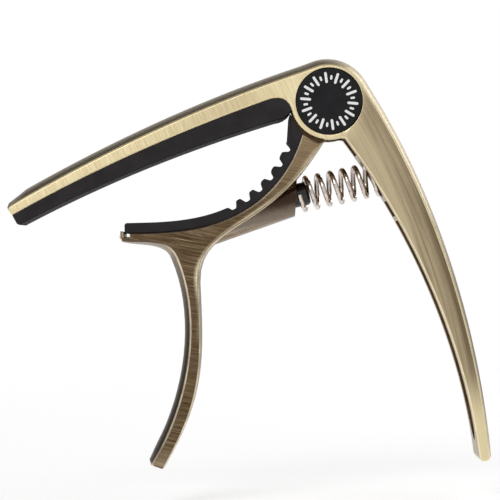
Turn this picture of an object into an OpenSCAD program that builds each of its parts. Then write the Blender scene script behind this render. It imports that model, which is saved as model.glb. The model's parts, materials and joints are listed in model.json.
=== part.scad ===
// Trigger capo for a six-string guitar: a fixed casting with the string bar, hub and rear
// handle, a sprung trigger arm with the neck jaw, and the pivot, spring and rubber pads.
// It stands upright on its two finger levers. +X runs from the string bar to the handle,
// +Y runs from the front face to the rear face, and +Z is up.
// Outlines are drawn in the plane of the levers, with the pivot at their origin.

/* [Castings] */
// Depth of both castings, across the strings' direction
casting_depth = 14; // [13:0.5:16]
// Height that the outer side of the bar and handle is crowned at mid-depth
outer_crown = 1.6; // [0.8:0.1:1.8]
// Height that the finger side of the trigger is crowned at mid-depth
trigger_crown = 1.3; // [0.6:0.1:1.5]
// Small bevel around the flat side faces
edge_bevel = 0.25; // [0.1:0.05:0.4]

/* [Hub] */
// Outer radius of the hub ring around the badge
ring_radius = 7.7; // [7.5:0.1:8]
// Radius of the hub's upper edge, where the bar runs into the handle
shoulder_radius = 7.4; // [7.2:0.1:7.6]
// Width of the slot between the two cheeks of the hub
slot_width = 8.4; // [8.2:0.2:9]
// Radius of the arm's knuckle in the slot
knuckle_radius = 6.9; // [6.4:0.1:7]
// Radius of the arm's concave shoulder around the ring
arm_shoulder_radius = 8.5; // [8.4:0.1:8.8]

/* [Pivot] */
// Outer radius of the pivot sleeve's barrel
sleeve_radius = 2.5; // [2.2:0.1:2.7]
// Radial clearance of each running fit
running_clearance = 0.05; // [0.02:0.01:0.08]
// Radius of the pivot screw's shank
screw_radius = 1.5; // [1.2:0.1:1.6]
// Radius of the screw's and sleeve's heads
pivot_head_radius = 3.8; // [3.4:0.1:4]
// Thickness of those heads
pivot_head_thickness = 0.9; // [0.7:0.1:1]
// Wall of the bush pressed into the knuckle
bush_wall = 0.6; // [0.5:0.1:0.8]
// Outer radius of the thrust washers
washer_radius = 6; // [5:0.5:6.5]
// Thickness of the thrust washers
washer_thickness = 0.3; // [0.2:0.05:0.35]

/* [Badges] */
// Radius of the badge discs
badge_radius = 6.7; // [6.2:0.1:6.8]
// Thickness of the badge discs
badge_thickness = 0.9; // [0.7:0.1:1]
// How far the badges sit below the side faces
badge_set_back = 0.1; // [0.05:0.05:0.2]

/* [Spring] */
// Outer radius of the spring
spring_radius = 3.6; // [3.4:0.1:3.7]
// Diameter of the spring wire
wire_diameter = 1; // [0.8:0.1:1.1]
// Number of turns of the spring
spring_turns = 6.5; // [5.5:0.5:7]
// Length of the spring with the jaw closed
spring_length = 17.6; // [17.4:0.1:17.8]
// Upward tilt of the spring from the arm to the handle
spring_tilt = 10.8; // [10:0.2:12]
// Radius of the peg that the spring's first turns fit over
peg_radius = 2.4; // [2:0.1:2.5]
// Length of the peg that stands out of the boss
peg_reach = 2.6; // [2:0.2:3.4]

/* [Pads] */
// Depth of the string pad
string_pad_depth = 13.6; // [13:0.2:13.8]
// Depth of the neck pad
neck_pad_depth = 13; // [12:0.5:13.5]
// Thickness of the neck pad's smooth end
neck_pad_thickness = 2.1; // [1.8:0.1:2.4]
// Rubber left under the valleys between the teeth
tooth_floor = 1.25; // [1:0.05:1.4]
// Height of the teeth's tips above the jaw
tooth_top = 2.55; // [2.2:0.05:2.7]
// Number of teeth
tooth_count = 6; // [4:1:6]

/* [Hidden] */

// Where the pivot lies above the two lever tips, and how far it is right of the middle
pivot_height = 72.8;
pivot_offset = 17.25;
half_depth = casting_depth / 2;
half_slot = slot_width / 2;

bronze = [0.63, 0.56, 0.41];
dark_bronze = [0.47, 0.40, 0.29];
rubber_black = [0.13, 0.13, 0.14];
nickel = [0.74, 0.71, 0.68];
steel_grey = [0.55, 0.55, 0.56];
nylon = [0.88, 0.86, 0.8];

// ---- Curves: control points in the plane of the levers, pivot at the origin ----
bar_top_line = [[-2, 7], [-24, 0.5], [-44.5, -8.5], [-64.5, -19.5]];
bar_under_line = [[-64, -21.3], [-47.5, -12.5], [-30.5, -5.5], [-12.5, 0.5]];
recess_line = [[-12.5, 0.5], [-10, 1.3], [-8.2, 0.9], [-7.56, -1.47]];
pad_face_line = [[-11, -3.65], [-28.5, -8.5], [-45.5, -14.8], [-62, -23]];
handle_outer_line = [[30.5, -72], [28.3, -45.3], [20.4, -18.7], [6.16, 4.1]];
handle_inner_line = [[3, -7.5], [16.5, -26.5], [26, -49.5], [28.4, -72.2]];
neck_line = [[-5.5, -6.5], [-9, -17.5], [-18, -26], [-30.5, -25.5], [-40.6, -25.5]];
arm_right_line = [[-27, -35.8], [-27.2, -23.1], [-13.2, -26.3], [-6.2, -15], [-1.5, -8.3]];
trigger_right_line = [[-34.9, -72.7], [-26.4, -58.8], [-26.6, -51.7], [-27, -35.8]];
trigger_left_line = [[-31.3, -30.5], [-26.4, -42.7], [-29.3, -59.8], [-37.2, -71.6]];
jaw_under_line = [[-41.5, -27.1], [-37.8, -27.5], [-32.9, -26.5], [-31.3, -30.5]];

// Where on the bar's and the trigger's outer lines the crown starts to die out to the tip
tip_start = 0.92;

// Where the spring starts on the boss, and its direction
spring_start = [-6.9, -18.6];
spring_way = [cos(spring_tilt), sin(spring_tilt)];

// Point at t along a curve with any number of control points
function bez(p, t) = len(p) == 1 ? p[0]
    : bez([for (i = [0:len(p) - 2]) p[i] * (1 - t) + p[i + 1] * t], t);
function curve(p, n, from = 0, to = 1) =
    [for (i = [0:n]) bez(p, from + (to - from) * i / n)];
// Unit normal on the right-hand side of a curve at t
function side(p, t) =
    let (d = bez(p, min(t + 0.01, 1)) - bez(p, max(t - 0.01, 0)))
    [d[1], -d[0]] / norm(d);
function arc(r, from, to, n) =
    [for (i = [0:n]) let (a = from + (to - from) * i / n) r * [cos(a), sin(a)]];
function tail(list) = [for (i = [1:len(list) - 1]) list[i]];
function reversed(list) = [for (i = [len(list) - 1:-1:0]) list[i]];
function flat(lists) = [for (l = lists) for (p = l) p];
// Points with the crown that each one gets, from one value at the start to one at the end
function crowned(points, from, to) = [for (i = [0:len(points) - 1])
    let (c = from + (to - from) * i / max(1, len(points) - 1))
    [points[i][0], points[i][1], c]];

// ---- Shapes shared by the castings ----
// Outward normal at point i of a closed outline that runs counterclockwise
function outward(o, i) =
    let (n = len(o), a = o[(i + n - 1) % n], b = o[(i + 1) % n],
         d = [b[0] - a[0], b[1] - a[1]])
    [d[1], -d[0]] / norm(d);

// Twice the signed area of a triangle, and whether a point lies in it
function turn(a, b, c) = (b[0] - a[0]) * (c[1] - a[1]) - (b[1] - a[1]) * (c[0] - a[0]);
function in_triangle(p, a, b, c) =
    turn(a, b, p) >= 0 && turn(b, c, p) >= 0 && turn(c, a, p) >= 0;
function is_ear(o, left, k) =
    let (n = len(left), i = left[(k + n - 1) % n], j = left[k], l = left[(k + 1) % n])
    turn(o[i], o[j], o[l]) > 0.0001 && len([for (m = left)
        if (m != i && m != j && m != l && in_triangle(o[m], o[i], o[j], o[l])) m]) == 0;
// Triangles that fill a counterclockwise outline, found by cutting off one ear at a time
function fill(o, left, k = 0, done = []) =
    let (n = len(left))
    n == 3 ? concat(done, [left])
    : is_ear(o, left, k)
        ? fill(o, [for (m = [0:n - 1]) if (m != k) left[m]], (k + 1) % (n - 1),
            concat(done, [[left[(k + n - 1) % n], left[k], left[(k + 1) % n]]]))
        : fill(o, left, (k + 1) % n, done);

// A casting from its side-face outline. Each outline point is [x, y, crown]: the wall
// bulges by that crown at mid-depth, and the side faces get a small bevel.
module casting(outline) {
    steps = [-half_depth, edge_bevel - half_depth, -0.7 * half_depth, -0.36 * half_depth, 0,
             0.36 * half_depth, 0.7 * half_depth, half_depth - edge_bevel, half_depth];
    n = len(outline);
    layers = len(steps);
    normals = [for (i = [0:n - 1]) outward(outline, i)];
    points = [for (j = [0:layers - 1]) for (i = [0:n - 1])
        let (y = steps[j],
             inset = (j == 0 || j == layers - 1) ? edge_bevel : 0,
             grow = outline[i][2] * (1 - pow(y / half_depth, 2)) - inset)
        [outline[i][0] + normals[i][0] * grow, y, outline[i][1] + normals[i][1] * grow]];
    walls = [for (j = [0:layers - 2]) for (i = [0:n - 1])
        let (k = (i + 1) % n, a = j * n + i, b = j * n + k)
        each [[a, b, b + n], [a, b + n, a + n]]];
    face = fill([for (i = [0:n - 1]) [points[i][0], points[i][2]]], [for (i = [0:n - 1]) i]);
    front = [for (f = face) reversed(f)];
    rear = [for (f = face) [for (i = f) (layers - 1) * n + i]];
    polyhedron(points, concat(walls, front, rear), convexity = 6);
}

// Extrudes a plane shape across the depth, centred
module slab(width) {
    rotate([90, 0, 0]) linear_extrude(width, center = true, convexity = 6) children();
}

// Places children so that their Z axis runs along the pivot, from the front to the rear
module along_pivot() {
    rotate([-90, 0, 0]) children();
}

// Places children with their Z axis along the spring, a distance on from its start
module on_spring(distance = 0) {
    at = spring_start + spring_way * distance;
    translate([at[0], 0, at[1]]) rotate([0, 90 - spring_tilt, 0]) children();
}

// Lifts a shape drawn around the pivot to where it stands
module standing() {
    translate([pivot_offset, 0, pivot_height]) children();
}

// ---- Frame ----
function frame_outline() = flat([
    crowned(curve(handle_outer_line, 24), 0.4 * outer_crown, 0.85 * outer_crown),
    crowned(tail(arc(shoulder_radius, 34, 105, 8)), 0.85 * outer_crown, outer_crown),
    crowned(tail(curve(bar_top_line, 18, 0, tip_start)), outer_crown, 1.1 * outer_crown),
    crowned(tail(curve(bar_top_line, 4, tip_start, 1)), 1.08 * outer_crown, 0.65 * outer_crown),
    [[-64.75, -19.8, 0.45 * outer_crown], [-64.7, -20.3, 0.15 * outer_crown]],
    crowned(curve(bar_under_line, 14), 0, 0),
    crowned(tail(curve(recess_line, 6)), 0, 0),
    crowned(tail(arc(ring_radius, 191, 286, 12)), 0, 0),
    crowned(curve(handle_inner_line, 22), 0, 0),
    [[28.6, -72.6, 0], [29, -72.8, 0], [29.8, -72.8, 0], [30.3, -72.5, 0.2 * outer_crown]],
]);

// Floor of the handle's channel: the outer line, moved in by the skin's thickness
handle_skin = 1.2;
function channel_floor(t) =
    let (s = 0.88 * (1 - t)) bez(handle_outer_line, s) - handle_skin * side(handle_outer_line, s);

// Height where the channel's lower end is, and how far up its rounding reaches
channel_end = -69;
channel_round = 6.7;

// The channel seen from the finger side: straight edges and a long rounded lower end
module channel_window() {
    past_handle = 40;
    rotate([90, 0, 90]) linear_extrude(past_handle) polygon(concat(
        [[half_slot, 0], [-half_slot, 0]],
        [for (a = [180:12:360])
            [half_slot * cos(a), channel_end + channel_round * (1 + sin(a))]]));
}

// A stretch of the handle's channel, open on the finger side
module channel_stretch(from, to, steps) {
    mouth = [for (i = [0:steps]) let (t = from + (to - from) * i / steps)
        bez(handle_inner_line, t) + side(handle_inner_line, t)];
    floor_line = [for (i = [0:steps]) channel_floor(from + (to - from) * i / steps)];
    slab(slot_width) polygon(concat(mouth, reversed(floor_line)));
}

// Places along the handle's channel where the cross ribs leave it open
channel_stretches = [[0, 0.055, 2], [0.212, 0.262, 2], [0.277, 0.96, 24]];

// Radius of the slot inside the hub, and how far its mouth is cut out
slot_radius = 7.4;
slot_mouth_reach = 9.5;

spring_pocket_radius = 4.1;
spring_pocket_depth = 4;
spring_stud_radius = 2.3;
spring_stud_height = 1.8;

// Tongue that keys the string pad into the bar
module pad_tongue() {
    height = 0.7;
    steps = 10;
    lower = [for (i = [0:steps]) let (t = 0.2 + 0.6 * i / steps)
        bez(bar_under_line, t) + 0.3 * side(bar_under_line, t)];
    upper = [for (i = [0:steps]) let (t = 0.2 + 0.6 * i / steps)
        bez(bar_under_line, t) - height * side(bar_under_line, t)];
    slab(4) polygon(concat(lower, reversed(upper)));
}

module frame() {
    badge_seat = half_depth - badge_set_back - badge_thickness;
    head_seat = badge_seat - pivot_head_thickness - 0.1;
    color(bronze) standing() {
        difference() {
            casting(frame_outline());
            // Slot for the knuckle, and its mouth towards the arm
            along_pivot() cylinder(h = slot_width, r = slot_radius, center = true, $fn = 96);
            slab(slot_width) polygon(concat([[0, 0]], arc(slot_mouth_reach, 187, 296, 12)));
            intersection() {
                for (c = channel_stretches) channel_stretch(c[0], c[1], c[2]);
                channel_window();
            }
            on_spring(spring_length - spring_pocket_depth)
                cylinder(h = spring_pocket_depth, r = spring_pocket_radius, $fn = 64);
            pad_tongue();
            // Bore, head seats and badge seats
            along_pivot() cylinder(h = casting_depth + 2, r = sleeve_radius + running_clearance,
                center = true, $fn = 64);
            for (turn = [0, 180]) rotate([0, 0, turn]) along_pivot() {
                translate([0, 0, head_seat])
                    cylinder(h = 4, r = pivot_head_radius + 0.1, $fn = 64);
                translate([0, 0, badge_seat])
                    cylinder(h = 4, r = badge_radius + 0.05, $fn = 96);
            }
        }
        // Stud that centres the spring in its pocket, rooted in the skin behind it
        on_spring(spring_length - spring_stud_height)
            cylinder(h = spring_stud_height + 0.5, r = spring_stud_radius, $fn = 48);
    }
}

// ---- Trigger arm ----
function arm_outline() = flat([
    crowned(curve(trigger_right_line, 16), 0.1, 0.2),
    crowned(tail(curve(arm_right_line, 18)), 0.2, 0.2),
    crowned(tail(arc(arm_shoulder_radius, 259.8, 229.8, 5)), 0, 0),
    crowned(tail(curve(neck_line, 24)), 0, 0),
    [[-40.6, -26.2, 0], [-41.8, -26.2, 0], [-41.8, -25.1, 0], [-42.4, -25, 0],
     [-42.6, -26.4, 0.1], [-42.2, -27, 0.2]],
    crowned(curve(jaw_under_line, 10), 0.2 * trigger_crown, trigger_crown),
    crowned(tail(curve(trigger_left_line, 17, 0, tip_start)), trigger_crown,
        0.9 * trigger_crown),
    crowned(tail(curve(trigger_left_line, 3, tip_start, 1)), 0.85 * trigger_crown,
        0.65 * trigger_crown),
    [[-37.25, -71.95, 0.4 * trigger_crown], [-36.9, -72.2, 0.2], [-35.4, -72.75, 0]],
]);

boss_radius = 3.8;
boss_length = 19;
boss_tilt = 18;
boss_face_tilt = -4;
buried = 0.5;

// Round boss behind the arm, cut off square to the spring's first turn
module spring_boss() {
    difference() {
        translate([spring_start[0], 0, spring_start[1] - 0.1])
            rotate([0, 90 - boss_tilt, 0]) translate([0, 0, -boss_length])
            cylinder(h = boss_length + 3, r = boss_radius, $fn = 64);
        translate([spring_start[0], 0, spring_start[1]])
            rotate([0, -boss_face_tilt, 0]) translate([-0.1, -10, -10]) cube(20);
        // Its top ends inside the arm
        slab(20) polygon(concat([for (i = [0:24]) let (t = i / 24)
            bez(neck_line, t) - buried * side(neck_line, t)], [[-41, 5], [-5.5, 5]]));
    }
}

// Outer radius of the knuckle's wing, and the gap between it and the neck pad
wing_radius = 8.1;
wing_gap = 0.05;

// Knuckle in the slot, with the wing that backs the neck pad's upper end
module knuckle() {
    slab(2 * (half_slot - washer_thickness - running_clearance)) {
        polygon(concat([[0, 0]], arc(wing_radius, 199, 229, 6),
            [[-6.3, -9.5], [-2.9, -9.9]], arc(wing_radius, 259, 262, 1), [[1.2, -6]]));
        circle(r = knuckle_radius, $fn = 96);
    }
}

module trigger_arm() {
    color(dark_bronze) standing() difference() {
        union() {
            casting(arm_outline());
            spring_boss();
            knuckle();
        }
        along_pivot() cylinder(h = 20, r = sleeve_radius + running_clearance + bush_wall,
            center = true, $fn = 64);
        on_spring(-4) cylinder(h = 8, r = peg_radius, $fn = 48);
    }
}

// ---- Pads ----
module string_pad() {
    color(rubber_black) standing() {
        slab(string_pad_depth) polygon(concat(
            curve(bar_under_line, 14),
            tail(curve(recess_line, 6)),
            [[-7.9, -2], [-8.4, -2.6], [-9.2, -3.15], [-10.1, -3.5]],
            curve(pad_face_line, 16),
            [[-62.6, -23.3], [-63.1, -23]]));
        pad_tongue();
    }
}

// Height of the neck pad above the jaw at t along the neck line
first_tooth = 0.04;
tooth_step = 0.0815;
toothed_end = first_tooth + (tooth_count - 0.5) * tooth_step;
// Where the smooth part begins after the last valley, and how fast it rises
rise_start = toothed_end + 0.006;
rise_share = 0.02;
function tooth_wave(t) =
    let (w = 0.5 + 0.85 * cos(360 * (t - first_tooth) / tooth_step)) min(1, max(0, w));
function neck_pad_height(t) = t < toothed_end
    ? tooth_floor + (tooth_top - tooth_floor) * tooth_wave(t)
    : let (s = max(0, min(1, (t - rise_start) / rise_share)))
        tooth_floor + (neck_pad_thickness - tooth_floor) * s * s * (3 - 2 * s);

module neck_pad() {
    steps = 150;
    jaw_side = [for (i = [0:24]) bez(neck_line, i / 24)];
    string_side = [for (i = [0:steps]) let (t = first_tooth + (1 - first_tooth) * i / steps)
        bez(neck_line, t) + neck_pad_height(t) * side(neck_line, t)];
    color(rubber_black) standing() slab(neck_pad_depth) polygon(concat(
        jaw_side,
        [[-41.6, -25.5], [-41.6, -23.8], [-41.3, -23.4]],
        reversed(string_side),
        [[-8.1, -2.9], [-7.95, -2.45]],
        arc(wing_radius + wing_gap, 197, 228.5, 6)));
}

// ---- Spring and its peg ----
module main_spring() {
    sides = 8;
    per_turn = 20;
    rings = spring_turns * per_turn;
    wire_radius = wire_diameter / 2;
    coil_radius = spring_radius - wire_radius;
    end_gap = 0.05;
    travel = spring_length - wire_diameter - 2 * end_gap;
    points = [for (i = [0:rings]) for (j = [0:sides - 1])
        let (a = 360 * i / per_turn - 90, b = 360 * j / sides,
             r = coil_radius + wire_radius * cos(b),
             rise = end_gap + wire_radius + travel * i / rings)
        [r * cos(a), r * sin(a), rise + wire_radius * sin(b)]];
    walls = [for (i = [0:rings - 1]) for (j = [0:sides - 1])
        let (a = i * sides + j, b = i * sides + (j + 1) % sides)
        each [[a, a + sides, b + sides], [a, b + sides, b]]];
    first = [for (j = [0:sides - 1]) j];
    last = [for (j = [sides - 1:-1:0]) rings * sides + j];
    color(nickel) standing() on_spring()
        polyhedron(points, concat(walls, [first], [last]), convexity = 12);
}

module spring_peg() {
    tip = 0.5;
    color(rubber_black) standing() on_spring(-4) {
        cylinder(h = 4 + peg_reach - tip, r = peg_radius, $fn = 48);
        translate([0, 0, 4 + peg_reach - tip])
            cylinder(h = tip, r1 = peg_radius, r2 = peg_radius - tip, $fn = 48);
    }
}

// ---- Pivot ----
head_face = half_depth - badge_set_back - badge_thickness - 0.1;
sleeve_bore = screw_radius + running_clearance;

module pivot_sleeve() {
    barrel_end = -(head_face - pivot_head_thickness - 0.1);
    color(steel_grey) standing() along_pivot() difference() {
        union() {
            translate([0, 0, barrel_end])
                cylinder(h = head_face - barrel_end, r = sleeve_radius, $fn = 64);
            translate([0, 0, head_face - pivot_head_thickness])
                cylinder(h = pivot_head_thickness, r = pivot_head_radius, $fn = 64);
        }
        translate([0, 0, barrel_end - 1])
            cylinder(h = head_face - barrel_end, r = sleeve_bore, $fn = 48);
    }
}

module pivot_screw() {
    socket_across = 2.5;
    shank_end = 3.4;
    color(steel_grey) standing() along_pivot() difference() {
        union() {
            translate([0, 0, -head_face])
                cylinder(h = pivot_head_thickness, r = pivot_head_radius, $fn = 64);
            translate([0, 0, pivot_head_thickness - head_face])
                cylinder(h = head_face - pivot_head_thickness + shank_end, r = screw_radius,
                    $fn = 48);
        }
        translate([0, 0, -head_face - 1])
            cylinder(h = 1.6, r = socket_across / sqrt(3), $fn = 6);
    }
}

module ring_on_pivot(inner, outer, from, to) {
    along_pivot() translate([0, 0, from]) difference() {
        cylinder(h = to - from, r = outer, $fn = 64);
        translate([0, 0, -1]) cylinder(h = to - from + 2, r = inner, $fn = 64);
    }
}

module pivot_bush() {
    half = half_slot - washer_thickness - running_clearance;
    bore = sleeve_radius + running_clearance;
    color("goldenrod") standing() ring_on_pivot(bore, bore + bush_wall, -half, half);
}

module thrust_washer(end) {
    inner_face = half_slot - washer_thickness - running_clearance / 2;
    outer_face = half_slot - running_clearance / 2;
    from = end > 0 ? inner_face : -outer_face;
    color(nylon) standing()
        ring_on_pivot(sleeve_radius + 0.1, washer_radius, from, from + washer_thickness);
}
module front_washer() { thrust_washer(-1); }
module rear_washer() { thrust_washer(1); }

// Flat disc with a thin turned edge, the same on both sides
module badge(end) {
    bevel = 0.2;
    face = half_depth - badge_set_back;
    color(rubber_black) standing() rotate([0, 0, end > 0 ? 0 : 180]) along_pivot() {
        translate([0, 0, face - badge_thickness])
            cylinder(h = badge_thickness - bevel, r = badge_radius, $fn = 96);
        translate([0, 0, face - bevel])
            cylinder(h = bevel, r1 = badge_radius, r2 = badge_radius - bevel, $fn = 96);
    }
}
module front_badge() { badge(-1); }
module rear_badge() { badge(1); }

frame();
trigger_arm();
string_pad();
neck_pad();
main_spring();
spring_peg();
pivot_sleeve();
pivot_screw();
pivot_bush();
front_washer();
rear_washer();
front_badge();
rear_badge();
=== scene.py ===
import json
import math

import bmesh
import bpy
import numpy as np
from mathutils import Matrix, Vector

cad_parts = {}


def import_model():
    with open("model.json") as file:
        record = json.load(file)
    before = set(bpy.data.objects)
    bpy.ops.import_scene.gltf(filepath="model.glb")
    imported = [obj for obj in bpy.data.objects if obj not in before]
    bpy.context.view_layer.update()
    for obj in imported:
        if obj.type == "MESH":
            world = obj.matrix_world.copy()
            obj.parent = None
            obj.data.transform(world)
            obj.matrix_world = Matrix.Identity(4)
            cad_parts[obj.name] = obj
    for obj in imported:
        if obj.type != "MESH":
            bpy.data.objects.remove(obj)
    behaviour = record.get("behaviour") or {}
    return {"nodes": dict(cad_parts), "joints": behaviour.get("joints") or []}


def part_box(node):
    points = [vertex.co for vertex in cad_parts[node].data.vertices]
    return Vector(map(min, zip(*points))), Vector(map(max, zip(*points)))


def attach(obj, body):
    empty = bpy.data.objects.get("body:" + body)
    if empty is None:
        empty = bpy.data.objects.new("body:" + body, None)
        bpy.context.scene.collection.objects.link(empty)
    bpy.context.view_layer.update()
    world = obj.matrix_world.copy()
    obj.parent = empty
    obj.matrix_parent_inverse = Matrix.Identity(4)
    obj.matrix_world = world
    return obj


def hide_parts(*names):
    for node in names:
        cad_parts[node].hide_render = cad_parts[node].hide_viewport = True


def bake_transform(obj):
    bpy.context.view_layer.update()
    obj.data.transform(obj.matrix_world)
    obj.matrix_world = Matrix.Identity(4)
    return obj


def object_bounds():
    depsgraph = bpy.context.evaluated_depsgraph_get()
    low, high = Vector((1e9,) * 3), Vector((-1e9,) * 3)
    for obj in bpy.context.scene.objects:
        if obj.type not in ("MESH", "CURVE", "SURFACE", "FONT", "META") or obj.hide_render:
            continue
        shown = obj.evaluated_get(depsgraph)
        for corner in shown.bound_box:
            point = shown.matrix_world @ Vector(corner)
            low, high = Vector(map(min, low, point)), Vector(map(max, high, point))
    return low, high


# Looks of the trigger capo: two brushed castings, black rubber pads, a nickel spring and
# the pivot's pieces, on a pale floor. Every piece takes its place from the CAD nodes.

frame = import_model()
cad_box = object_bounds()

# ---- Sizes, in metres ----
MM = 0.001
# Points closer than this are one point
WELD = 0.002 * MM
# Flat faces that turn by less than this, in degrees, are joined
FLATNESS = 0.2
# Rounding of the castings' rims, the pads' edges, the peg and the pivot's pieces
EDGE_ROUND = 0.09 * MM
RUBBER_ROUND = 0.2 * MM
PEG_ROUND = 0.2 * MM
PIVOT_ROUND = 0.06 * MM

low, high = cad_box
hinge = frame["joints"][0]
hub = Vector(hinge["pos_m"])
face_y = high.y


# ---- Small helpers ----
def add_object(name, mesh):
    piece = bpy.data.objects.new(name, mesh)
    bpy.context.scene.collection.objects.link(piece)
    return piece


def mesh_from(bm, name):
    mesh = bpy.data.meshes.new(name)
    bm.to_mesh(mesh)
    bm.free()
    return mesh


def cad_points(node):
    """A CAD node's vertices at rest, one row each."""
    mesh = frame["nodes"][node].data
    points = np.zeros(len(mesh.vertices) * 3)
    mesh.vertices.foreach_get("co", points)
    return points.reshape(-1, 3)


def cad_copy(node):
    """A bmesh of a CAD node with its split vertices welded and its flat faces joined."""
    source = frame["nodes"][node].data
    bm = bmesh.new()
    verts = [bm.verts.new(v.co) for v in source.vertices]
    for polygon in source.polygons:
        corners = [verts[i] for i in polygon.vertices]
        if len(set(corners)) > 2:
            bm.faces.new(corners)
    bmesh.ops.remove_doubles(bm, verts=bm.verts, dist=WELD)
    bmesh.ops.dissolve_degenerate(bm, dist=WELD, edges=bm.edges)
    bmesh.ops.dissolve_limit(bm, angle_limit=math.radians(FLATNESS), verts=bm.verts,
                             edges=bm.edges, use_dissolve_boundaries=False)
    bmesh.ops.recalc_face_normals(bm, faces=bm.faces)
    return bm


def side_edges(bm, depth, band, sharper_than):
    """Edges in the band next to the side faces that turn by more than an angle."""
    limit = math.radians(sharper_than)
    return [e for e in bm.edges
            if all(abs(v.co.y) > depth - band for v in e.verts)
            and len(e.link_faces) == 2 and e.calc_face_angle(0) > limit]


def round_edges(bm, edges, width, segments, material=0):
    """Rounds edges to a width, and gives the new faces a material."""
    bmesh.ops.bevel(bm, geom=edges, offset=width, offset_type="OFFSET", segments=segments,
                    profile=0.5, affect="EDGES", clamp_overlap=False, material=material)


def split_large_faces(bm):
    """Splits faces with more than four corners, so that they shade evenly."""
    bmesh.ops.triangulate(bm, faces=[f for f in bm.faces if len(f.verts) > 4],
                          ngon_method="BEAUTY")


def soften(piece, width, segments, sharper_than):
    """A bevel modifier on the corners that turn by more than an angle."""
    rounding = piece.modifiers.new("rounding", "BEVEL")
    rounding.width = width
    rounding.segments = segments
    rounding.limit_method = "ANGLE"
    rounding.angle_limit = math.radians(sharper_than)


def smooth(piece, sharp_angle):
    """Smooth shading that keeps large faces flat and true corners sharp."""
    piece.data.shade_smooth()
    piece.data.set_sharp_from_angle(angle=math.radians(sharp_angle))
    modifier = piece.modifiers.new("weighted_normals", "WEIGHTED_NORMAL")
    modifier.mode = "FACE_AREA"
    modifier.weight = 60
    modifier.keep_sharp = True


# ---- Shader helpers ----
class Shader:
    """Builds one node material; sockets pass between its methods."""

    def __init__(self, name):
        self.material = bpy.data.materials.new(name)
        self.material.use_nodes = True
        self.tree = self.material.node_tree
        self.bsdf = self.tree.nodes["Principled BSDF"]

    def put(self, socket, value):
        """Links a socket to an input, or sets the input's value."""
        if isinstance(value, bpy.types.NodeSocket):
            self.tree.links.new(value, socket)
        elif value is not None:
            socket.default_value = value

    def node(self, kind, inputs=None, **settings):
        """Adds a node, with its inputs by name or number and its settings."""
        made = self.tree.nodes.new(kind)
        for key, value in settings.items():
            setattr(made, key, value)
        for key, value in (inputs or {}).items():
            self.put(made.inputs[key], value)
        return made

    def math(self, operation, a, b=None, c=None):
        made = self.node("ShaderNodeMath", operation=operation)
        for socket, value in zip(made.inputs, (a, b, c)):
            self.put(socket, value)
        return made.outputs[0]

    def vector(self, x, y, z):
        return self.node("ShaderNodeCombineXYZ", {"X": x, "Y": y, "Z": z}).outputs[0]

    def noise(self, vector, scale, detail=2.0, roughness=0.5, distortion=0.0):
        inputs = {"Vector": vector, "Scale": scale, "Detail": detail,
                  "Roughness": roughness, "Distortion": distortion}
        return self.node("ShaderNodeTexNoise", inputs).outputs["Fac"]

    def span(self, value, low_in, high_in, low_out=0.0, high_out=1.0, kind="LINEAR"):
        """Maps one range of values to another, and holds the ends."""
        inputs = {"Value": value, "From Min": low_in, "From Max": high_in,
                  "To Min": low_out, "To Max": high_out}
        return self.node("ShaderNodeMapRange", inputs, interpolation_type=kind).outputs[0]

    def blend(self, factor, a, b):
        """Mixes two colours."""
        made = self.node("ShaderNodeMix", data_type="RGBA")
        colours = [i for i in made.inputs if i.type == "RGBA"]
        self.put(made.inputs["Factor"], factor)
        self.put(colours[0], a)
        self.put(colours[1], b)
        return [o for o in made.outputs if o.type == "RGBA"][0]

    def mix(self, factor, a, b):
        """Mixes two values."""
        made = self.node("ShaderNodeMix", data_type="FLOAT")
        values = [i for i in made.inputs if i.type == "VALUE"]
        self.put(values[0], factor)
        self.put(values[1], a)
        self.put(values[2], b)
        return made.outputs[0]

    def place(self):
        """Millimetres from the hub in the piece's own frame: x, y and z sockets."""
        own = self.node("ShaderNodeTexCoord").outputs["Object"]
        moved = self.node("ShaderNodeVectorMath", {0: own, 1: hub}, operation="SUBTRACT")
        scaled = self.node("ShaderNodeVectorMath", {0: moved.outputs[0], "Scale": 1 / MM},
                           operation="SCALE")
        split = self.node("ShaderNodeSeparateXYZ", {0: scaled.outputs[0]})
        return split.outputs[0], split.outputs[1], split.outputs[2]

    def normal(self, axis):
        """How far the surface faces along an axis, from -1 to 1."""
        normal = self.node("ShaderNodeNewGeometry").outputs["Normal"]
        return self.node("ShaderNodeSeparateXYZ", {0: normal}).outputs[axis]

    def facing(self, axis, begins, full):
        """0 to 1 as the surface turns to face along an axis, either way."""
        return self.span(self.math("ABSOLUTE", self.normal(axis)), begins, full)

    def bump(self, height, strength, distance):
        inputs = {"Height": height, "Strength": strength, "Distance": distance}
        return self.node("ShaderNodeBump", inputs).outputs[0]

    def finish(self, **inputs):
        """Sets the surface's inputs, with _ for each space, and returns the material."""
        for key, value in inputs.items():
            self.put(self.bsdf.inputs[key.replace("_", " ")], value)
        return self.material


def colour(r, g, b):
    """Linear colour from display values of 0 to 255."""
    return tuple((v / 255) ** 2.2 for v in (r, g, b)) + (1.0,)


# ---- Bronze ----
# The handle follows an arc of this radius round this point, in mm from the hub
HANDLE_RADIUS = 180.7
HANDLE_CENTRE = (-150.1, -86.7)
# Slope of the string bar, and of the brush marks across the trigger arm
BAR_TILT = math.radians(23.2)
ARM_TILT = math.radians(-12)
# How squarely a surface faces along the pivot where the brushed side faces begin, and
# where they are full
SIDE_BEGINS, SIDE_FULL = 0.90, 0.985
# Roughness of the castings' smooth walls, and of the brushed faces' bright and dark marks
WALL_ROUGH = 0.34
BRUSHED_ROUGH = (0.26, 0.42)


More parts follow.
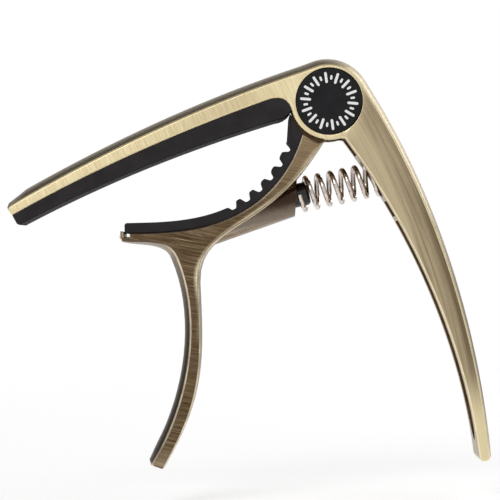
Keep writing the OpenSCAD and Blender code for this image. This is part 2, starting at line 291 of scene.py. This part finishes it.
def streaks(shader, across, along, depth, fine, slow):
    """Brush marks: noise that changes fast across the marks and slowly along them."""
    fast = shader.math("MULTIPLY", across, fine)
    steady = shader.math("MULTIPLY", along, slow)
    deep = shader.math("MULTIPLY", depth, slow * 4)
    return shader.noise(shader.vector(fast, steady, deep), 1.0, 4.0, 0.66, 0.04)


def sloped_axes(shader, x, z, slope):
    """Distance along a slope and across it."""
    c, s = math.cos(slope), math.sin(slope)
    along = shader.math("ADD", shader.math("MULTIPLY", x, c), shader.math("MULTIPLY", z, s))
    across = shader.math("SUBTRACT", shader.math("MULTIPLY", z, c),
                         shader.math("MULTIPLY", x, s))
    return along, across


def handle_axes(shader, x, z):
    """Distance along the handle's arc and outwards from its centre."""
    dx = shader.math("SUBTRACT", x, HANDLE_CENTRE[0])
    dz = shader.math("SUBTRACT", z, HANDLE_CENTRE[1])
    square = shader.math("ADD", shader.math("MULTIPLY", dx, dx),
                         shader.math("MULTIPLY", dz, dz))
    outwards = shader.math("SQRT", square)
    along = shader.math("MULTIPLY", shader.math("ARCTAN2", dz, dx), HANDLE_RADIUS)
    return along, outwards


def brushed(shader, side, tone, fine):
    """Satin metal with brush marks on its side faces and smooth walls."""
    rough = shader.mix(side, WALL_ROUGH, shader.span(fine, 0.3, 0.7, *BRUSHED_ROUGH))
    return shader.finish(Base_Color=tone, Metallic=1.0, Roughness=rough, Normal=shader.bump(
        fine, shader.span(side, 0, 1, 0, 0.3), 0.02 * MM))


def bar_tone(s, along, fine):
    """The bar in a bright tone, a painted reflection of its brushed face, and darker in its
    middle.
    """
    tone = s.blend(s.span(fine, 0.32, 0.7), colour(226, 206, 160), colour(246, 232, 190))
    middle_darkening = s.math("MULTIPLY", s.span(along, -40.0, -20.0, 0.0, 0.4),
                    s.span(along, -16.0, -9.0, 1.0, 0.0))
    return s.blend(middle_darkening, tone, colour(186, 168, 128))


def handle_tone(s, inset, broad, fine, z):
    """The handle in a darker tone than the bar, a painted reflection of its brushed face; browner
    towards its outer edge, darker in a band next to that edge, and lighter towards its tip.
    """
    browner = s.span(inset, 0.0, 5.0, 0.3, -0.06)
    tone = s.blend(s.span(s.math("SUBTRACT", broad, browner), 0.26, 0.56),
                   colour(138, 121, 96), colour(190, 174, 141))
    tone = s.blend(s.span(fine, 0.4, 0.75, 0.0, 0.45), tone, colour(216, 202, 168))
    outer_band = s.math("MULTIPLY", s.span(inset, 0.2, 2.5, 0.72, 0.0),
                     s.math("MULTIPLY", s.span(z, -62.0, -48.0, kind="SMOOTHSTEP"),
                            s.span(z, -12.0, -26.0, kind="SMOOTHSTEP")))
    tone = s.blend(outer_band, tone, colour(104, 88, 68))
    return s.blend(s.span(z, -66.0, -54.0, 0.8, 0.0, kind="SMOOTHSTEP"), tone,
                   colour(236, 220, 176))


def frame_bronze():
    s = Shader("brushed_bronze")
    x, y, z = s.place()
    side = s.facing(1, SIDE_BEGINS, SIDE_FULL)
    bar_along, bar_across = sloped_axes(s, x, z, BAR_TILT)
    grip_along, grip_across = handle_axes(s, x, z)
    # The bar's marks give way to the handle's across the hub
    on_grip = s.span(s.math("SUBTRACT", x, s.math("MULTIPLY", z, 0.35)), 1.0, 9.0,
                     kind="SMOOTHSTEP")
    bar_fine = streaks(s, bar_along, bar_across, y, 3.4, 0.16)
    grip_fine = s.mix(side, streaks(s, y, grip_along, grip_across, 2.6, 0.05),
                      streaks(s, grip_across, grip_along, y, 4.2, 0.06))
    grip_broad = streaks(s, grip_across, grip_along, y, 0.75, 0.022)
    fine = s.mix(on_grip, bar_fine, grip_fine)
    inset = s.math("SUBTRACT", HANDLE_RADIUS, grip_across)
    # The bar's bright tone and the handle's darker one, a painted reflection on one brushed
    # casting, meet across the hub
    tone = s.blend(on_grip, bar_tone(s, bar_along, bar_fine),
                   handle_tone(s, inset, grip_broad, grip_fine, z))
    wall_tone = s.blend(s.span(fine, 0.35, 0.65), colour(150, 132, 100), colour(186, 168, 132))
    return brushed(s, side, s.blend(side, wall_tone, tone), fine)


# Heights of the arm's fork in mm from the hub, between which a painted highlight lies along its
# inner edge
FORK_LOW, FORK_HIGH = -50, -9
FORK_MIDDLE = (FORK_LOW + FORK_HIGH) / 2
FORK_HALF = (FORK_HIGH - FORK_LOW) / 2
# Levels that the edge is measured at, points left of this aren't on it, and how it is fitted
FORK_LEVELS = 21
FORK_LEFT = -28.5
FORK_DEGREE = 6


def fork_edge():
    """Polynomial for the arm's spring-side edge near the fork: x over height, from -1 to 1."""
    points = (cad_points("trigger_arm") - np.array(hub)) / MM
    front = points[points[:, 1] < points[:, 1].min() + WELD / MM]
    steps = np.linspace(FORK_LOW, FORK_HIGH, FORK_LEVELS + 1)
    edge = []
    for lower, upper in zip(steps, steps[1:]):
        level = front[(front[:, 2] >= lower) & (front[:, 2] < upper)]
        if len(level):
            edge.append(level[level[:, 0].argmax()])
    edge = np.array([p for p in edge if p[0] > FORK_LEFT])
    heights = (edge[:, 2] - FORK_MIDDLE) / FORK_HALF
    return [float(k) for k in np.polyfit(heights, edge[:, 0], FORK_DEGREE)]


def fork_painted_highlight(s, x, y, z, fine):
    """How strongly the painted highlight along the fork's inner edge shows, from 0 to 1."""
    height = s.math("DIVIDE", s.math("SUBTRACT", z, FORK_MIDDLE), FORK_HALF)
    edge_x = 0.0
    for k in fork_edge():
        edge_x = s.math("MULTIPLY_ADD", edge_x, height, k)
    gap = s.math("MULTIPLY", s.math("SUBTRACT", edge_x, x), s.span(z, -36.0, -26.0, 1.0, 0.7))
    near = s.span(gap, 0.0, 0.85, 0.95, 0.0)
    highlight = s.math("MULTIPLY", s.math("MULTIPLY", near, near),
                    s.math("MULTIPLY", s.span(z, -48.0, -36.0), s.span(z, -9.0, -20.0, 0.6, 1.0)))
    highlight = s.math("MULTIPLY", highlight, s.span(fine, 0.3, 0.6, 0.6, 1.0))
    return s.math("MULTIPLY", highlight, s.span(s.math("ABSOLUTE", y), 5.2, 6.6))


def arm_bronze():
    s = Shader("antique_bronze")
    x, y, z = s.place()
    along, across = sloped_axes(s, x, z, ARM_TILT)
    fine = streaks(s, across, along, y, 5.6, 0.12)
    scratch = streaks(s, across, along, y, 8.5, 0.07)
    broad = streaks(s, across, along, y, 0.4, 0.1)
    tone = s.blend(s.span(broad, 0.35, 0.65), colour(74, 58, 42), colour(94, 76, 57))
    tone = s.blend(s.span(fine, 0.42, 0.7, 0.0, 0.6), tone, colour(138, 117, 88))
    tone = s.blend(s.span(scratch, 0.57, 0.68, 0.0, 0.7), tone, colour(206, 190, 158))
    # Lighter towards the hub and at the trigger's tip
    tone = s.blend(s.span(z, -22.0, -9.0, 0.0, 0.35), tone, colour(190, 166, 130))
    tone = s.blend(s.span(z, -72.5, -68.0, 0.35, 0.0), tone, colour(190, 172, 144))
    wall = s.blend(s.span(fine, 0.35, 0.65), colour(116, 98, 78), colour(150, 130, 106))
    side = s.facing(1, SIDE_BEGINS, SIDE_FULL)
    tone = s.blend(side, wall, tone)
    # A cream painted highlight along the fork's inner edge
    tone = s.blend(fork_painted_highlight(s, x, y, z, fine), tone, colour(246, 230, 194))
    return brushed(s, side, tone, fine)


def shaded_cast_bronze(name, dark, light, rough):
    """Unbrushed metal with the fine grain of a die casting."""
    s = Shader(name)
    place = s.vector(*s.place())
    cloud = s.noise(place, 0.45, 3.0)
    grain = s.noise(place, 6.0, 4.0, 0.6)
    tone = s.blend(s.span(cloud, 0.3, 0.7), dark, light)
    return s.finish(Base_Color=tone, Metallic=1.0,
                    Roughness=s.span(grain, 0.3, 0.7, rough, rough + 0.14),
                    Normal=s.bump(grain, 0.25, 0.03 * MM))


def boss_bronze():
    """Smooth metal with painted shade above the spring's axis and a painted sheen below it, as on
    a round boss.
    """
    s = Shader("gunmetal")
    x, y, z = s.place()
    start, way, _ = spring_axis()
    start = (start - hub) / MM
    beyond = s.math("ADD", s.math("MULTIPLY", s.math("SUBTRACT", x, start.x), way.z),
                    s.math("MULTIPLY", s.math("SUBTRACT", z, start.z), -way.x))
    place = s.vector(x, y, z)
    cloud = s.noise(place, 0.6, 3.0)
    grain = s.noise(place, 6.0, 4.0, 0.6)
    below = s.math("ADD", beyond, s.span(cloud, 0.3, 0.7, -0.2, 0.2))
    # Painted shade above the spring's axis, lightening to a painted sheen below it
    tone = s.blend(s.span(below, 0.9, 3.4, kind="SMOOTHSTEP"), colour(64, 52, 44),
                   colour(124, 112, 101))
    tone = s.blend(s.span(below, 3.6, 4.8, kind="SMOOTHSTEP"), tone, colour(158, 145, 131))
    return s.finish(Base_Color=tone, Metallic=1.0, Roughness=s.span(grain, 0.3, 0.7, 0.2, 0.32),
                    Normal=s.bump(grain, 0.15, 0.03 * MM))


def worn_and_highlit_edge(name, dark, light, level):
    """Metal rubbed light along its edges, partly wear and partly painted highlight, with the level
    tone, a painted shade, where they face up or down.
    """
    s = Shader(name)
    place = s.vector(*s.place())
    patch = s.noise(place, 0.3, 2.0)
    grain = s.noise(place, 4.0, 2.0)
    tone = s.blend(s.span(patch, 0.32, 0.6, 0.5, 1.0), dark, light)
    # Painted light by facing: edges that face up or down take the level tone
    tone = s.blend(s.facing(0, 0.15, 0.55), level, tone)
    return s.finish(Base_Color=tone, Metallic=0.6, Roughness=s.span(grain, 0.3, 0.7, 0.28, 0.36),
                    Normal=s.bump(grain, 0.02, 0.01 * MM))


# ---- Rubber and plastic ----
def rubber():
    """Matte rubber with a little dust, and painted shade where it faces down."""
    s = Shader("black_rubber")
    place = s.vector(*s.place())
    cloud = s.noise(place, 0.35, 3.0)
    grain = s.noise(place, 9.0, 3.0, 0.6)
    dust = s.noise(place, 2.6, 5.0, 0.7)
    tone = s.blend(s.span(cloud, 0.35, 0.65), colour(43, 41, 42), colour(48, 46, 47))
    tone = s.blend(s.span(dust, 0.66, 0.76, 0.0, 0.25), tone, colour(110, 106, 104))
    # Painted shade on the faces that face down
    tone = s.blend(s.span(s.normal(2), -0.7, -0.2, 0.75, 0.0), tone, colour(12, 11, 12))
    return s.finish(Base_Color=tone, Roughness=s.span(grain, 0.3, 0.7, 0.62, 0.78),
                    Specular_IOR_Level=0.1, Normal=s.bump(grain, 0.25, 0.03 * MM))


def badge_plastic():
    s = Shader("badge_black")
    place = s.vector(*s.place())
    grain = s.noise(place, 12.0, 2.0)
    cloud = s.noise(place, 0.5, 2.0)
    tone = s.blend(s.span(cloud, 0.35, 0.65), colour(16, 15, 18), colour(24, 23, 27))
    return s.finish(Base_Color=tone, Roughness=s.span(grain, 0.3, 0.7, 0.42, 0.55),
                    Specular_IOR_Level=0.22, Normal=s.bump(grain, 0.1, 0.01 * MM))


def badge_print():
    s = Shader("white_print")
    grain = s.noise(s.vector(*s.place()), 14.0, 3.0)
    tone = s.blend(s.span(grain, 0.3, 0.6), colour(205, 205, 206), colour(238, 238, 238))
    return s.finish(Base_Color=tone, Roughness=0.5)


def peg_plastic():
    s = Shader("black_plastic")
    grain = s.noise(s.vector(*s.place()), 5.0, 2.0)
    tone = s.blend(grain, colour(10, 10, 11), colour(22, 21, 22))
    return s.finish(Base_Color=tone, Roughness=s.span(grain, 0.3, 0.7, 0.12, 0.22),
                    Normal=s.bump(grain, 0.1, 0.02 * MM))


# ---- Spring, pivot and washers ----
def plated(name, dark, light, rough_low, rough_high):
    """Plated or sintered metal with a fine grain."""
    s = Shader(name)
    place = s.vector(*s.place())
    cloud = s.noise(place, 0.8, 2.0)
    grain = s.noise(place, 3.0, 3.0)
    tone = s.blend(s.span(cloud, 0.3, 0.7), dark, light)
    return s.finish(Base_Color=tone, Metallic=1.0,
                    Roughness=s.span(grain, 0.3, 0.7, rough_low, rough_high),
                    Normal=s.bump(grain, 0.08, 0.01 * MM))


def nylon():
    s = Shader("white_nylon")
    grain = s.noise(s.vector(*s.place()), 6.0, 3.0)
    tone = s.blend(grain, colour(214, 210, 200), colour(236, 233, 226))
    return s.finish(Base_Color=tone, Roughness=s.span(grain, 0.3, 0.7, 0.4, 0.55),
                    Subsurface_Weight=0.05, Normal=s.bump(grain, 0.1, 0.02 * MM))


# ---- Pieces ----
def outline_of(bm):
    """The casting's outline in x and z, from the edges where its wall meets its bevel."""
    heights = sorted({round(abs(v.co.y) / WELD) for v in bm.verts}, reverse=True)
    level = heights[1] * WELD
    ends = {}
    for e in bm.edges:
        if all(v.co.y > 0 and abs(v.co.y - level) < WELD for v in e.verts):
            for v, w in (e.verts, reversed(e.verts)):
                ends.setdefault(v, []).append(w)
    loops = []
    left = set(ends)
    while left:
        loop = [left.pop()]
        while True:
            following = [v for v in ends[loop[-1]] if v in left]
            if not following:
                break
            loop.append(following[0])
            left.remove(following[0])
        loops.append(loop)
    longest = max(loops, key=len)
    return np.array([(v.co.x, v.co.z) for v in longest])


def outside_by(outline, point):
    """How far a point is outside the outline, and less than 0 inside it."""
    a, b = outline, np.roll(outline, -1, axis=0)
    p = np.array((point.x, point.z))
    edge = b - a
    share = np.clip(((p - a) * edge).sum(1) / (edge ** 2).sum(1), 0, 1)
    gap = np.linalg.norm(a + edge * share[:, None] - p, axis=1).min()
    crosses = (a[:, 1] > p[1]) != (b[:, 1] > p[1])
    with np.errstate(divide="ignore", invalid="ignore"):
        at = a[:, 0] + (p[1] - a[:, 1]) * edge[:, 0] / edge[:, 1]
    inside = (crosses & (p[0] < at)).sum() % 2
    return -gap if inside else gap


# Material slots of a casting: outer faces, rims, unbrushed insides in a dark tone that paints
# their shade, and the spring's boss
OUTER, RIM, HOLLOW, BOSS = range(4)
# Depth of the band next to a side face that holds its bevel
RIM_BAND = 0.3 * MM
# How far inside the outline a hollow's faces are, and how far outside it the boss's are
HOLLOW_INSET = 0.35 * MM
BOSS_OUTSET = 0.5 * MM
# Farthest that the knuckle and the boss reach from the hub
KNUCKLE_REACH = 8.4 * MM
BOSS_REACH = 30 * MM


def sort_faces(bm, has_boss):
    """Gives each face the material of its place: outer wall, rim, hollow or boss."""
    outline = outline_of(bm)
    for face in bm.faces:
        ys = [abs(v.co.y) for v in face.verts]
        centre = face.calc_center_median()
        outside = outside_by(outline, centre)
        from_hub = Vector((centre.x - hub.x, centre.z - hub.z)).length
        if min(ys) > face_y - RIM_BAND:
            face.material_index = RIM if max(ys) - min(ys) > WELD else OUTER
        elif max(ys) < face_y - RIM_BAND and outside < -HOLLOW_INSET:
            face.material_index = HOLLOW
        elif has_boss and outside > BOSS_OUTSET and from_hub < BOSS_REACH and centre.z < hub.z:
            # The knuckle takes the insides' dark tone, a painted shade
            face.material_index = HOLLOW if from_hub < KNUCKLE_REACH else BOSS
        else:
            face.material_index = OUTER


def casting(node, name, body, metals):
    """The casting with its rims rounded and its side faces left flat."""
    bm = cad_copy(node)
    sort_faces(bm, has_boss=node == "trigger_arm")
    rims = side_edges(bm, face_y, RIM_BAND, sharper_than=15)
    round_edges(bm, rims, EDGE_ROUND, segments=2, material=RIM)
    for v in bm.verts:
        v.co.y = max(-face_y, min(face_y, v.co.y))
    split_large_faces(bm)
    piece = add_object(name, mesh_from(bm, name))
    for metal in metals:
        piece.data.materials.append(metal)
    smooth(piece, sharp_angle=34)
    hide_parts(node)
    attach(piece, body)


def pad(node, name, body, material):
    """A rubber pad with soft side edges."""
    bm = cad_copy(node)
    depth = max(v.co.y for v in bm.verts)
    edges = side_edges(bm, depth, 5 * WELD, sharper_than=40)
    round_edges(bm, edges, RUBBER_ROUND, segments=4)
    split_large_faces(bm)
    piece = add_object(name, mesh_from(bm, name))
    piece.data.materials.append(material)
    smooth(piece, sharp_angle=38)
    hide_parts(node)
    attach(piece, body)


def tube(path, radius, sides, name):
    """A closed tube swept along a path of points."""
    bm = bmesh.new()
    angles = [math.tau * k / sides for k in range(sides)]
    rings = []
    for i, point in enumerate(path):
        ahead = path[min(i + 1, len(path) - 1)] - path[max(i - 1, 0)]
        turned = ahead.to_track_quat("Z", "Y").to_matrix()
        rings.append([bm.verts.new(point + turned @ Vector((
            radius * math.cos(a), radius * math.sin(a), 0))) for a in angles])
    for a, b in zip(rings, rings[1:]):
        # The ring frame can turn between steps, so each ring starts at its nearest point
        shift = min(range(sides), key=lambda n: (b[n].co - a[0].co).length)
        b[:] = b[shift:] + b[:shift]
        for k in range(sides):
            bm.faces.new((a[k], a[(k + 1) % sides], b[(k + 1) % sides], b[k]))
    bm.faces.new(list(reversed(rings[0])))
    bm.faces.new(rings[-1])
    bmesh.ops.recalc_face_normals(bm, faces=bm.faces)
    return add_object(name, mesh_from(bm, name))


SPRING_TURNS = 6.5
STEPS_PER_TURN = 40
WIRE_RADIUS = 0.5 * MM
WIRE_SIDES = 14


def spring_axis():
    """The spring's start, direction and length, along its peg's axis to the handle."""
    peg = cad_points("spring_peg")
    middle = peg.mean(axis=0)
    way = np.linalg.svd(peg - middle)[2][0]
    way = way if way[0] > 0 else -way
    reach = (cad_points("main_spring") - middle) @ way
    return Vector(middle + way * reach.min()), Vector(way), reach.max() - reach.min()


def main_spring(material):
    """The spring as round wire between the arm and the handle."""
    start, way, length = spring_axis()
    middle = start + way * length / 2
    points = [Vector(p) - middle for p in cad_points("main_spring")]
    outer = max((p - way * p.dot(way)).length for p in points)
    coil = outer - WIRE_RADIUS
    depthwise = Vector((0, 1, 0))
    across = depthwise.cross(way).normalized()
    count = int(SPRING_TURNS * STEPS_PER_TURN)
    travel = length - 2 * WIRE_RADIUS
    path = []
    for i in range(count + 1):
        rise = i / count
        angle = math.tau * i / STEPS_PER_TURN - math.pi / 2
        radial = across * math.cos(angle) + depthwise * math.sin(angle)
        path.append(start + way * (WIRE_RADIUS + travel * rise) + radial * coil)
    piece = tube(path, WIRE_RADIUS, WIRE_SIDES, "spring_coil")
    piece.data.materials.append(material)
    piece.data.shade_smooth()
    piece.data.set_sharp_from_angle(angle=math.radians(60))
    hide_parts("main_spring")
    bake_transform(piece)
    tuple(start)


def lathe(profile, segments, centre, axis_y, name):
    """Turns a profile of (radius, height) pairs about the pivot's direction."""
    bm = bmesh.new()
    rings = []
    for radius, height in profile:
        ring = []
        for k in range(segments if radius > 0 else 1):
            angle = math.tau * k / segments
            ring.append(bm.verts.new(centre + Vector((
                radius * math.cos(angle), axis_y * height, radius * math.sin(angle)))))
        rings.append(ring)
    for a, b in zip(rings, rings[1:]):
        for k in range(segments):
            corners = [a[k % len(a)], a[(k + 1) % len(a)], b[(k + 1) % len(b)], b[k % len(b)]]
            corners = list(dict.fromkeys(corners))
            if len(corners) > 2:
                bm.faces.new(corners)
    bmesh.ops.recalc_face_normals(bm, faces=bm.faces)
    return add_object(name, mesh_from(bm, name))


# Radius of the badge's rolled edge, depth of its dish, and the steps each curve is drawn in
BADGE_ROLL = 0.25 * MM
BADGE_DISH = 0.03 * MM
BADGE_STEPS = 6
# The printed ticks stay this far below the badge's outer face
INK_SET_BACK = 0.005 * MM
TICKS = 28
# Distances from the centre to a tick's inner and outer ends, and half its width
LONG_TICK = (3.9 * MM, 5.6 * MM, 0.26 * MM)
SHORT_TICK = (4.5 * MM, 5.0 * MM, 0.22 * MM)


def badge_disc(node, side, plastic):
    """A satin disc with a rolled edge and a shallow dish, the same size as the CAD's."""
    lo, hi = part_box(node)
    radius = (hi.x - lo.x) / 2
    half = (hi.y - lo.y) / 2
    core = radius - BADGE_ROLL
    profile = [(0, -half), (core, -half), (radius, BADGE_ROLL - half)]
    for k in range(BADGE_STEPS + 1):
        turn = math.pi / 2 * k / BADGE_STEPS
        profile.append((core + BADGE_ROLL * math.cos(turn),
                        half - BADGE_ROLL + BADGE_ROLL * math.sin(turn)))
    dished = radius - 2 * BADGE_ROLL
    for k in range(BADGE_STEPS, -1, -1):
        share = k / BADGE_STEPS
        profile.append((dished * share, half - BADGE_DISH * (1 - share ** 4)))
    disc = lathe(profile, segments=128, centre=(lo + hi) / 2, axis_y=side, name=node + "_disc")
    disc.data.materials.append(plastic)
    smooth(disc, sharp_angle=40)
    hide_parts(node)
    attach(disc, "frame_body")


def tick_outline(angle, inner_end, outer_end, half):
    """A round-ended tick that points away from the badge's centre."""
    out = Vector((math.cos(angle), 0, math.sin(angle)))
    over = Vector((-math.sin(angle), 0, math.cos(angle)))
    outline = []
    for end, facing in ((outer_end, 0), (inner_end, math.pi)):
        for step in range(BADGE_STEPS + 1):
            bow = facing + math.pi * (step / BADGE_STEPS - 0.5)
            outline.append(out * (end + half * math.cos(bow)) + over * half * math.sin(bow))
    return outline


def badge_dial(node, side, ink):
    """A printed dial of plain ticks, long and short in turn."""
    lo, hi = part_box(node)
    centre = (lo + hi) / 2
    half = (hi.y - lo.y) / 2
    levels = [Vector((0, side * level, 0))
              for level in (half - 2 * BADGE_DISH, half - INK_SET_BACK)]
    bm = bmesh.new()
    for k in range(TICKS):
        outline = tick_outline(math.tau * (k + 0.5) / TICKS, *(LONG_TICK if k % 2 else SHORT_TICK))
        lower, upper = [[bm.verts.new(centre + p + level) for p in outline] for level in levels]
        bm.faces.new(lower)
        bm.faces.new(list(reversed(upper)))
        for i in range(len(outline)):
            j = (i + 1) % len(outline)
            bm.faces.new((lower[i], upper[i], upper[j], lower[j]))
    bmesh.ops.recalc_face_normals(bm, faces=bm.faces)
    dial = add_object(node + "_dial", mesh_from(bm, node + "_dial"))
    dial.data.materials.append(ink)
    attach(dial, "frame_body")


def spring_peg(material):
    """The peg with a rounded nose."""
    bm = cad_copy("spring_peg")
    piece = add_object("peg", mesh_from(bm, "peg"))
    soften(piece, PEG_ROUND, segments=3, sharper_than=30)
    piece.data.materials.append(material)
    smooth(piece, sharp_angle=50)
    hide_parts("spring_peg")
    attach(piece, "trigger_body")


def finish_cad_node(node, material):
    """Keeps a CAD node, with a finished material and softened corners."""
    shown = frame["nodes"][node]
    shown.data.materials.clear()
    shown.data.materials.append(material)
    welding = shown.modifiers.new("weld", "WELD")
    welding.merge_threshold = WELD
    soften(shown, PIVOT_ROUND, segments=2, sharper_than=40)


bronze = frame_bronze()
dark_bronze = arm_bronze()
# Rims rubbed light, partly wear and partly painted highlight, with painted shade where they face
# up or down
bronze_edge = worn_and_highlit_edge("bronze_edge", colour(206, 188, 148), colour(248, 236, 200),
                        colour(226, 208, 164))
arm_edge = worn_and_highlit_edge("arm_edge", colour(130, 112, 88), colour(232, 216, 186),
                     colour(92, 76, 60))
pad_rubber = rubber()
# The insides and the knuckle in a dark tone: painted shade
inner_bronze = shaded_cast_bronze("shaded_cast_bronze", colour(92, 72, 48), colour(122, 98, 68), 0.36)
gunmetal = boss_bronze()
casting("frame", "frame_casting", "frame_body",
        (bronze, bronze_edge, inner_bronze, gunmetal))
casting("trigger_arm", "arm_casting", "trigger_body",
        (dark_bronze, arm_edge, inner_bronze, gunmetal))
pad("string_pad", "string_rubber", "frame_body", pad_rubber)
pad("neck_pad", "neck_rubber", "trigger_body", pad_rubber)
main_spring(plated("nickel_wire", colour(188, 176, 168), colour(234, 223, 215), 0.07, 0.14))
spring_peg(peg_plastic())
black = badge_plastic()
white = badge_print()
for badge, side in (("front_badge", -1), ("rear_badge", 1)):
    badge_disc(badge, side, black)
    badge_dial(badge, side, white)
steel = plated("zinc_plated_steel", colour(150, 150, 152), colour(186, 186, 188), 0.22, 0.36)
finish_cad_node("pivot_sleeve", steel)
finish_cad_node("pivot_screw", steel)
finish_cad_node("pivot_bush", plated("bush_bronze", colour(150, 112, 62),
                                     colour(190, 148, 88), 0.3, 0.42))
washer_nylon = nylon()
finish_cad_node("front_washer", washer_nylon)
finish_cad_node("rear_washer", washer_nylon)


# ---- Stage, lights and camera ----
# The floor lies below the trigger's lowest reach, and fades out between two distances
FLOOR_DROP = 8.3 * MM
FLOOR_RADIUS = 1.2
FLOOR_FADE = (0.12, 0.55)
WORLD_STRENGTH = 0.8
# Shaded parts of the world: the direction of each one's middle, the cosines of the angles
# where the shade begins and where it is full, and the strength that it leaves
SHADES = (((-0.4, 0.1, 0.9), 0.42, 0.74, 0.1),
          ((-0.8, 0.55, 0.0), 0.7, 0.89, 0.04),
          ((0.9, 0.45, 0.0), 0.58, 0.76, 0.3))


def floor():
    """A pale disc that fades out towards its rim."""
    bm = bmesh.new()
    bmesh.ops.create_circle(bm, cap_ends=True, segments=96, radius=FLOOR_RADIUS)
    disc = add_object("floor", mesh_from(bm, "floor"))
    disc.location.z = low.z - FLOOR_DROP
    s = Shader("floor_white")
    own = s.node("ShaderNodeTexCoord").outputs["Object"]
    distance = s.node("ShaderNodeVectorMath", {0: own}, operation="LENGTH").outputs["Value"]
    fade = s.span(distance, *FLOOR_FADE, 1.0, 0.0, kind="SMOOTHSTEP")
    disc.data.materials.append(s.finish(
        Base_Color=(0.85, 0.85, 0.85, 1), Roughness=0.8, Specular_IOR_Level=0.1, Alpha=fade,
        Emission_Color=(1, 1, 1, 1), Emission_Strength=0.5))


def world():
    """Bright all round except for the shades, and plain white where the camera looks at it."""
    made = bpy.data.worlds.new("studio")
    bpy.context.scene.world = made
    made.use_nodes = True
    tree = made.node_tree
    tree.nodes.clear()
    out = tree.nodes.new("ShaderNodeOutputWorld")
    light = tree.nodes.new("ShaderNodeBackground")
    plain = tree.nodes.new("ShaderNodeBackground")
    choose = tree.nodes.new("ShaderNodeMixShader")
    path = tree.nodes.new("ShaderNodeLightPath")
    way = tree.nodes.new("ShaderNodeTexCoord")
    strength = tree.nodes.new("ShaderNodeValue")
    strength.outputs[0].default_value = WORLD_STRENGTH
    for middle, begins, full, left in SHADES:
        towards = tree.nodes.new("ShaderNodeVectorMath")
        towards.operation = "DOT_PRODUCT"
        towards.inputs[1].default_value = Vector(middle).normalized()
        level = tree.nodes.new("ShaderNodeMapRange")
        level.interpolation_type = "SMOOTHSTEP"
        for name, value in (("From Min", begins), ("From Max", full), ("To Min", 1.0),
                            ("To Max", left)):
            level.inputs[name].default_value = value
        product = tree.nodes.new("ShaderNodeMath")
        product.operation = "MULTIPLY"
        tree.links.new(way.outputs["Generated"], towards.inputs[0])
        tree.links.new(towards.outputs["Value"], level.inputs["Value"])
        tree.links.new(level.outputs[0], product.inputs[0])
        tree.links.new(strength.outputs[0], product.inputs[1])
        strength = product
    tree.links.new(strength.outputs[0], light.inputs["Strength"])
    for background in (light, plain):
        background.inputs["Color"].default_value = (1, 1, 1, 1)
    tree.links.new(path.outputs["Is Camera Ray"], choose.inputs[0])
    tree.links.new(light.outputs[0], choose.inputs[1])
    tree.links.new(plain.outputs[0], choose.inputs[2])
    tree.links.new(choose.outputs[0], out.inputs["Surface"])


def softbox(name, place, size, power):
    """A square area light that faces the middle of the object."""
    lamp = bpy.data.lights.new(name, "AREA")
    lamp.shape = "SQUARE"
    lamp.size = size
    lamp.energy = power
    thing = bpy.data.objects.new(name, lamp)
    bpy.context.scene.collection.objects.link(thing)
    thing.location = Vector(place)
    aim = (low + high) / 2 - thing.location
    thing.rotation_euler = aim.to_track_quat("-Z", "Y").to_euler()


# The lens's distance in front of the object, its offset from the middle of the box, its
# angle of view as a focal length, and its roll
LENS_DISTANCE = 0.480
LENS_ACROSS = 0.58 * MM
LENS_ABOVE = 2.54 * MM
FOCAL_LENGTH = 172.8
LENS_ROLL = math.radians(1.403)


def camera():
    made = bpy.data.cameras.new("camera")
    made.lens = FOCAL_LENGTH
    made.sensor_width = 36
    made.clip_start = 0.01
    made.clip_end = 20
    thing = bpy.data.objects.new("camera", made)
    bpy.context.scene.collection.objects.link(thing)
    middle = (low + high) / 2
    thing.location = (middle.x + LENS_ACROSS, low.y - LENS_DISTANCE, middle.z + LENS_ABOVE)
    thing.rotation_euler = (math.pi / 2, LENS_ROLL, 0)
    bpy.context.scene.camera = thing


floor()
world()
softbox("key", place=(-0.35, -0.8, 0.6), size=0.5, power=3)
softbox("side", place=(0.62, 0.65, 0.5), size=0.6, power=3.3)
camera()
bpy.context.scene.view_settings.view_transform = "Standard"
